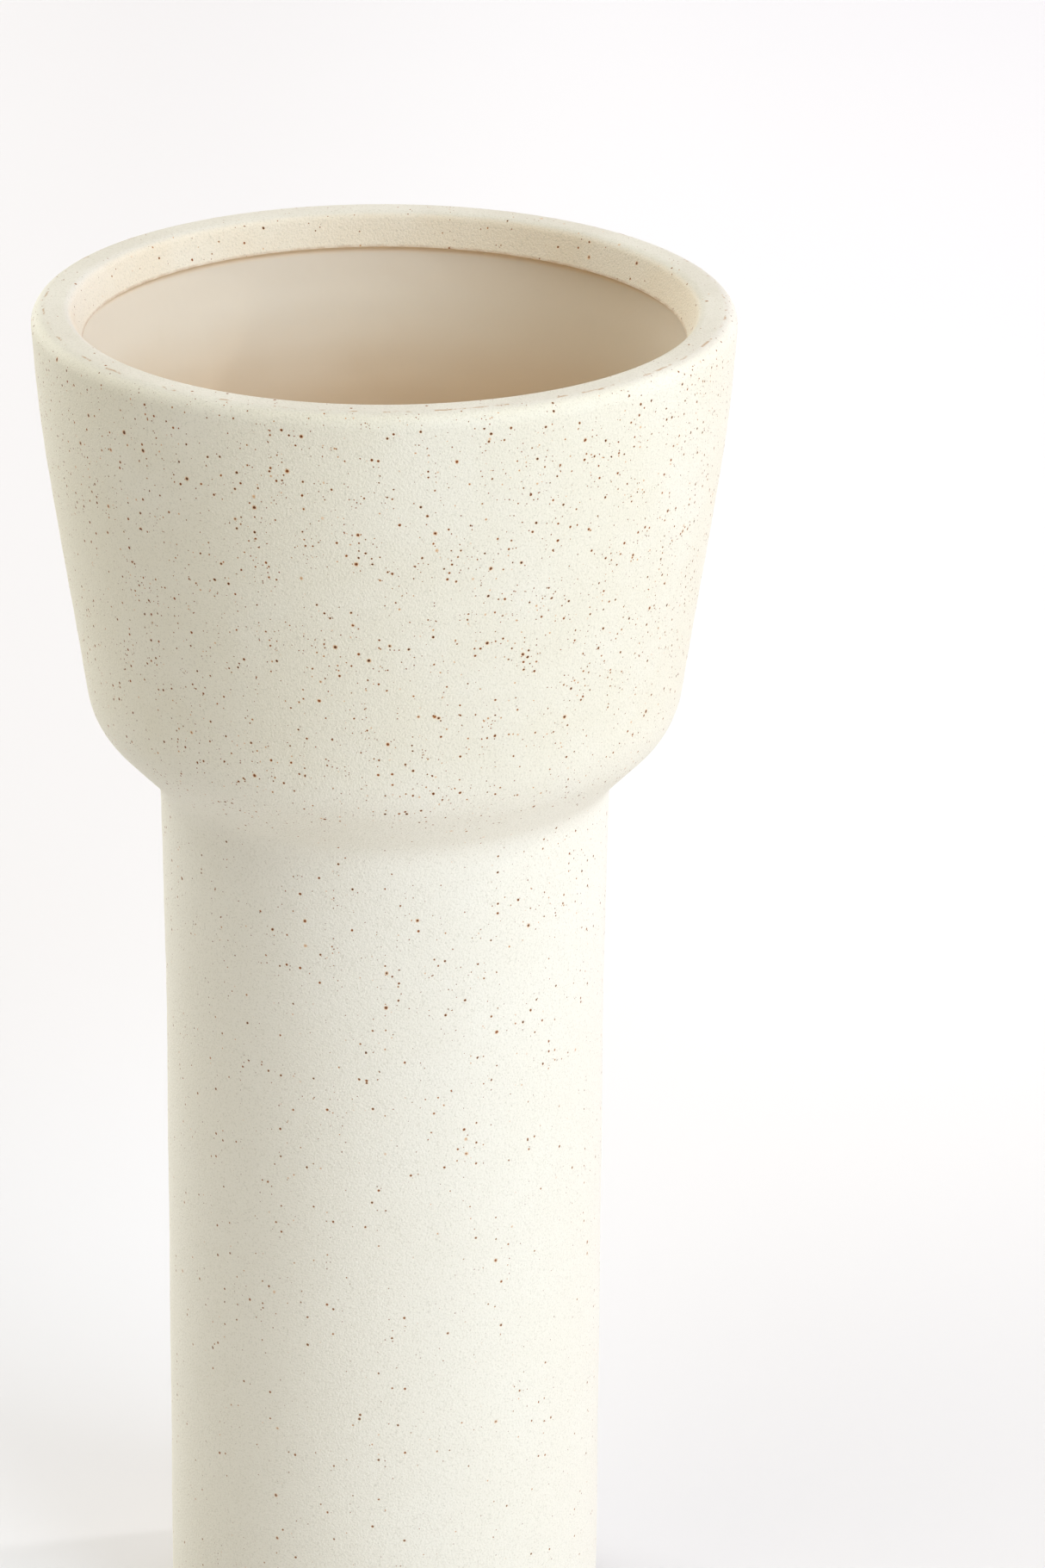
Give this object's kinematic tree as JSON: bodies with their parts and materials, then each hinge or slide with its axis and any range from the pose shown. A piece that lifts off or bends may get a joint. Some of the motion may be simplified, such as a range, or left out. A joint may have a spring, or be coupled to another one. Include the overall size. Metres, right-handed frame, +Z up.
{
  "type": "stoneware vase",
  "caption": "Tall stoneware vase: a wide flaring bowl with a thick flat rim on a straight round column, matte speckled outside and glossy inside.",
  "frame": {"origin": "centre of the foot, on the surface that the vase stands on", "axes": "+Z up along the vase's axis; X and Y are free, because the vase is turned"},
  "size_m": [0.1496, 0.1496, 0.31],
  "materials": {
    "bare_clay": "bare fired stoneware, sandy",
    "slip": "fired slip, fine and matte",
    "liner_glaze": "glossy tan glaze",
    "outer_glaze": "matte off-white glaze with brown iron specks"
  },
  "bodies": {
    "root": {"foot_ring": "bare_clay", "column_base": "bare_clay", "column_lower": "bare_clay", "column_upper": "bare_clay", "bowl_floor": "bare_clay", "bowl_wall": "bare_clay", "rim_collar": "bare_clay", "slip_foot": "slip", "slip_base": "slip", "slip_column": "slip", "slip_shoulder": "slip", "slip_bowl": "slip", "slip_rim": "slip", "liner_glaze": "liner_glaze", "outer_glaze": "outer_glaze"}
  },
  "joints": []
}
